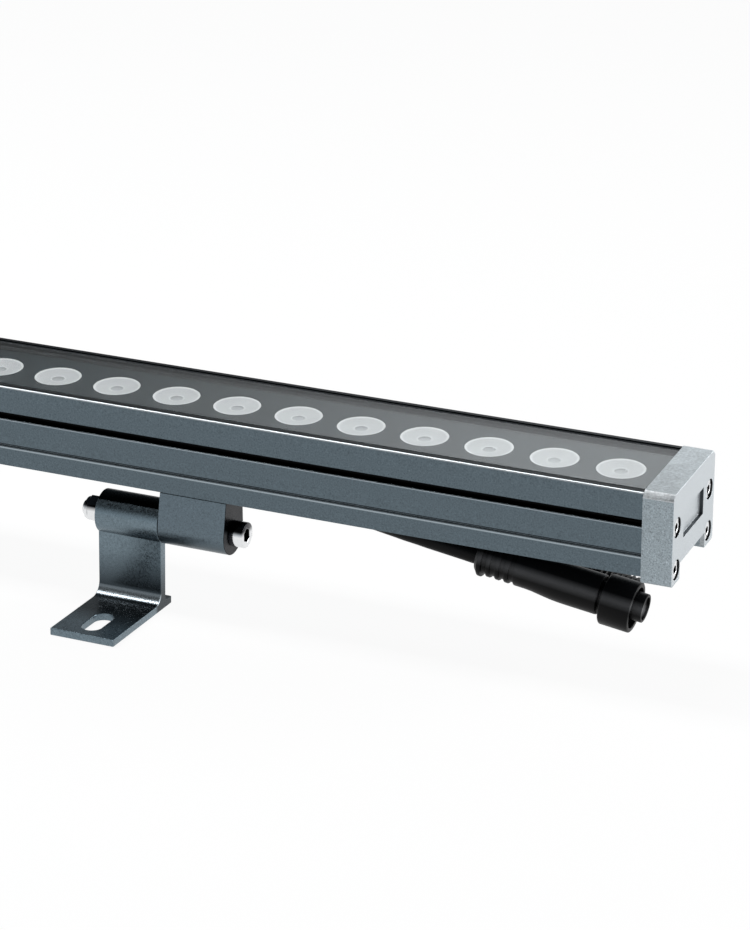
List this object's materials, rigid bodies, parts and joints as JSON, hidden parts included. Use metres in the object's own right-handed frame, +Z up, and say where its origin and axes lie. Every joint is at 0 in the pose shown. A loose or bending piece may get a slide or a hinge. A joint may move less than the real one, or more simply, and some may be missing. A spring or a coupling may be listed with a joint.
{
  "type": "outdoor wall washer light",
  "caption": "Slim outdoor LED wall washer bar with a glass front, cast end caps, two tilting feet on a rail, and a plug and a socket on short cables",
  "frame": {"origin": "midway between the centres of the two fixing slots, on the underside of the feet", "axes": "+X along the bar towards the end with the cables, +Y from the front with the connectors' plug side to the back, +Z up from the surface the feet are screwed to"},
  "size_m": [1, 0.0885, 0.0895],
  "materials": {
    "powder_coat": "fine satin powder coat, dark slate grey with a metallic grain",
    "cast_cap": "blasted die casting with a fine silver grain",
    "cover_glass": "clear toughened glass",
    "silicone": "matt black silicone",
    "mask_black": "matt black sheet",
    "lens_plastic": "clear plastic with a frosted front",
    "board_white": "white solder mask",
    "chip_yellow": "phosphor under a clear dome",
    "small_parts": "moulded plastic",
    "wire_red": "wire insulation",
    "black_nylon": "moulded nylon, fine grain",
    "cable_rubber": "satin rubber sheath",
    "connector_rubber": "satin moulded rubber",
    "contact_metal": "plated contact",
    "stainless": "bright stainless steel"
  },
  "bodies": {
    "housing": {"housing_extrusion": "powder_coat", "cover_glass": "cover_glass", "glass_seam": "silicone", "glass_bed": "silicone", "mask_plate": "mask_black", "lens_row_left": "lens_plastic", "lens_row_middle": "lens_plastic", "lens_row_right": "lens_plastic", "led_board_left": "board_white", "led_board_middle": "board_white", "led_board_right": "board_white", "led_chips_left": "chip_yellow", "led_chips_middle": "chip_yellow", "led_chips_right": "chip_yellow", "regulators_left": "small_parts", "regulators_middle": "small_parts", "regulators_right": "small_parts", "board_screws": "stainless", "board_links": "small_parts", "terminal_block": "small_parts", "supply_wires": "wire_red", "end_gasket_left": "silicone", "end_gasket_right": "silicone", "end_cap_left": "cast_cap", "end_cap_right": "cast_cap", "cap_screws_left": "stainless", "cap_screws_right": "stainless", "outlet_block": "black_nylon", "outlet_gasket": "silicone", "outlet_screw": "stainless", "outlet_nut": "stainless", "gland_nut_front": "black_nylon", "gland_nut_rear": "black_nylon", "cable_tails": "cable_rubber", "cable_front": "cable_rubber", "cable_rear": "cable_rubber", "plug_tail": "connector_rubber", "plug_body": "connector_rubber", "plug_contacts": "contact_metal", "socket_tail": "connector_rubber", "socket_body": "connector_rubber", "socket_pins": "contact_metal"},
    "bracket_left": {"hinge_bracket_left": "powder_coat", "rail_nut_left": "stainless", "rail_screws_left": "stainless", "hinge_bolt_left": "stainless", "bolt_washer_left": "stainless", "lock_nut_left": "stainless"},
    "bracket_right": {"hinge_bracket_right": "powder_coat", "rail_nut_right": "stainless", "rail_screws_right": "stainless", "hinge_bolt_right": "stainless", "bolt_washer_right": "stainless", "lock_nut_right": "stainless"},
    "foot_left": {"foot_left": "powder_coat"},
    "foot_right": {"foot_right": "powder_coat"},
    "plug_nut": {"plug_nut": "connector_rubber"}
  },
  "joints": [
    {"name": "slide_left", "type": "slide", "parent": "housing", "child": "bracket_left", "axis": [1, 0, 0], "range_m": [-0.15, 0.2]},
    {"name": "slide_right", "type": "slide", "parent": "housing", "child": "bracket_right", "axis": [1, 0, 0], "range_m": [-0.2, 0.0045]},
    {"name": "tilt_left", "type": "hinge", "parent": "bracket_left", "child": "foot_left", "pos_m": [-0.2715, 0.0332, 0.0368], "axis": [1, 0, 0], "range_deg": [-110, 90]},
    {"name": "tilt_right", "type": "hinge", "parent": "bracket_right", "child": "foot_right", "pos_m": [0.2715, 0.0332, 0.0368], "axis": [1, 0, 0], "range_deg": [-110, 90]},
    {"name": "nut_turn", "type": "hinge", "parent": "housing", "child": "plug_nut", "pos_m": [0.47525, 0.04198, 0.03265], "axis": [0.9898, 0.009, -0.1423], "continuous": true}
  ]
}
